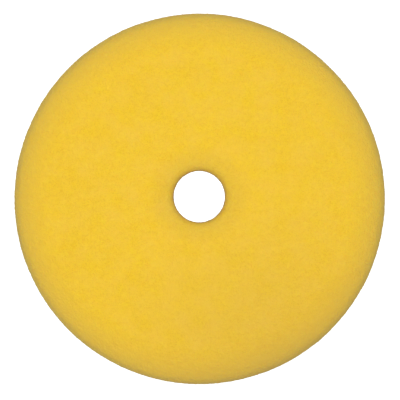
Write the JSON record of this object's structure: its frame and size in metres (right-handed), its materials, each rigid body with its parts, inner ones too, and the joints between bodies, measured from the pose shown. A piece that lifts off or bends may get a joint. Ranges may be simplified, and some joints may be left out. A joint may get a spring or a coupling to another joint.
{
  "type": "foam polishing pad",
  "caption": "Round foam polishing pad with a rounded rim, a tapered side, a punched centre hole and a loop backing that grips a hook-faced plate.",
  "frame": {"origin": "on the pad's axis, in the plane of the loop face that the pad lies on", "axes": "+Z along the pad's axis, from the loop face to the working face; the pad is round, so +X and +Y are any two radii, with the punched hole 1 mm off the axis towards +Y"},
  "size_m": [0.1588, 0.1588, 0.025],
  "materials": {
    "foam": "matte open-cell foam",
    "film": "melted adhesive film",
    "loop_base": "knitted",
    "loop_pile": "raised loops"
  },
  "bodies": {
    "root": {"foam_disc": "foam", "bond_film": "film", "loop_base": "loop_base", "loop_pile": "loop_pile"}
  },
  "joints": []
}
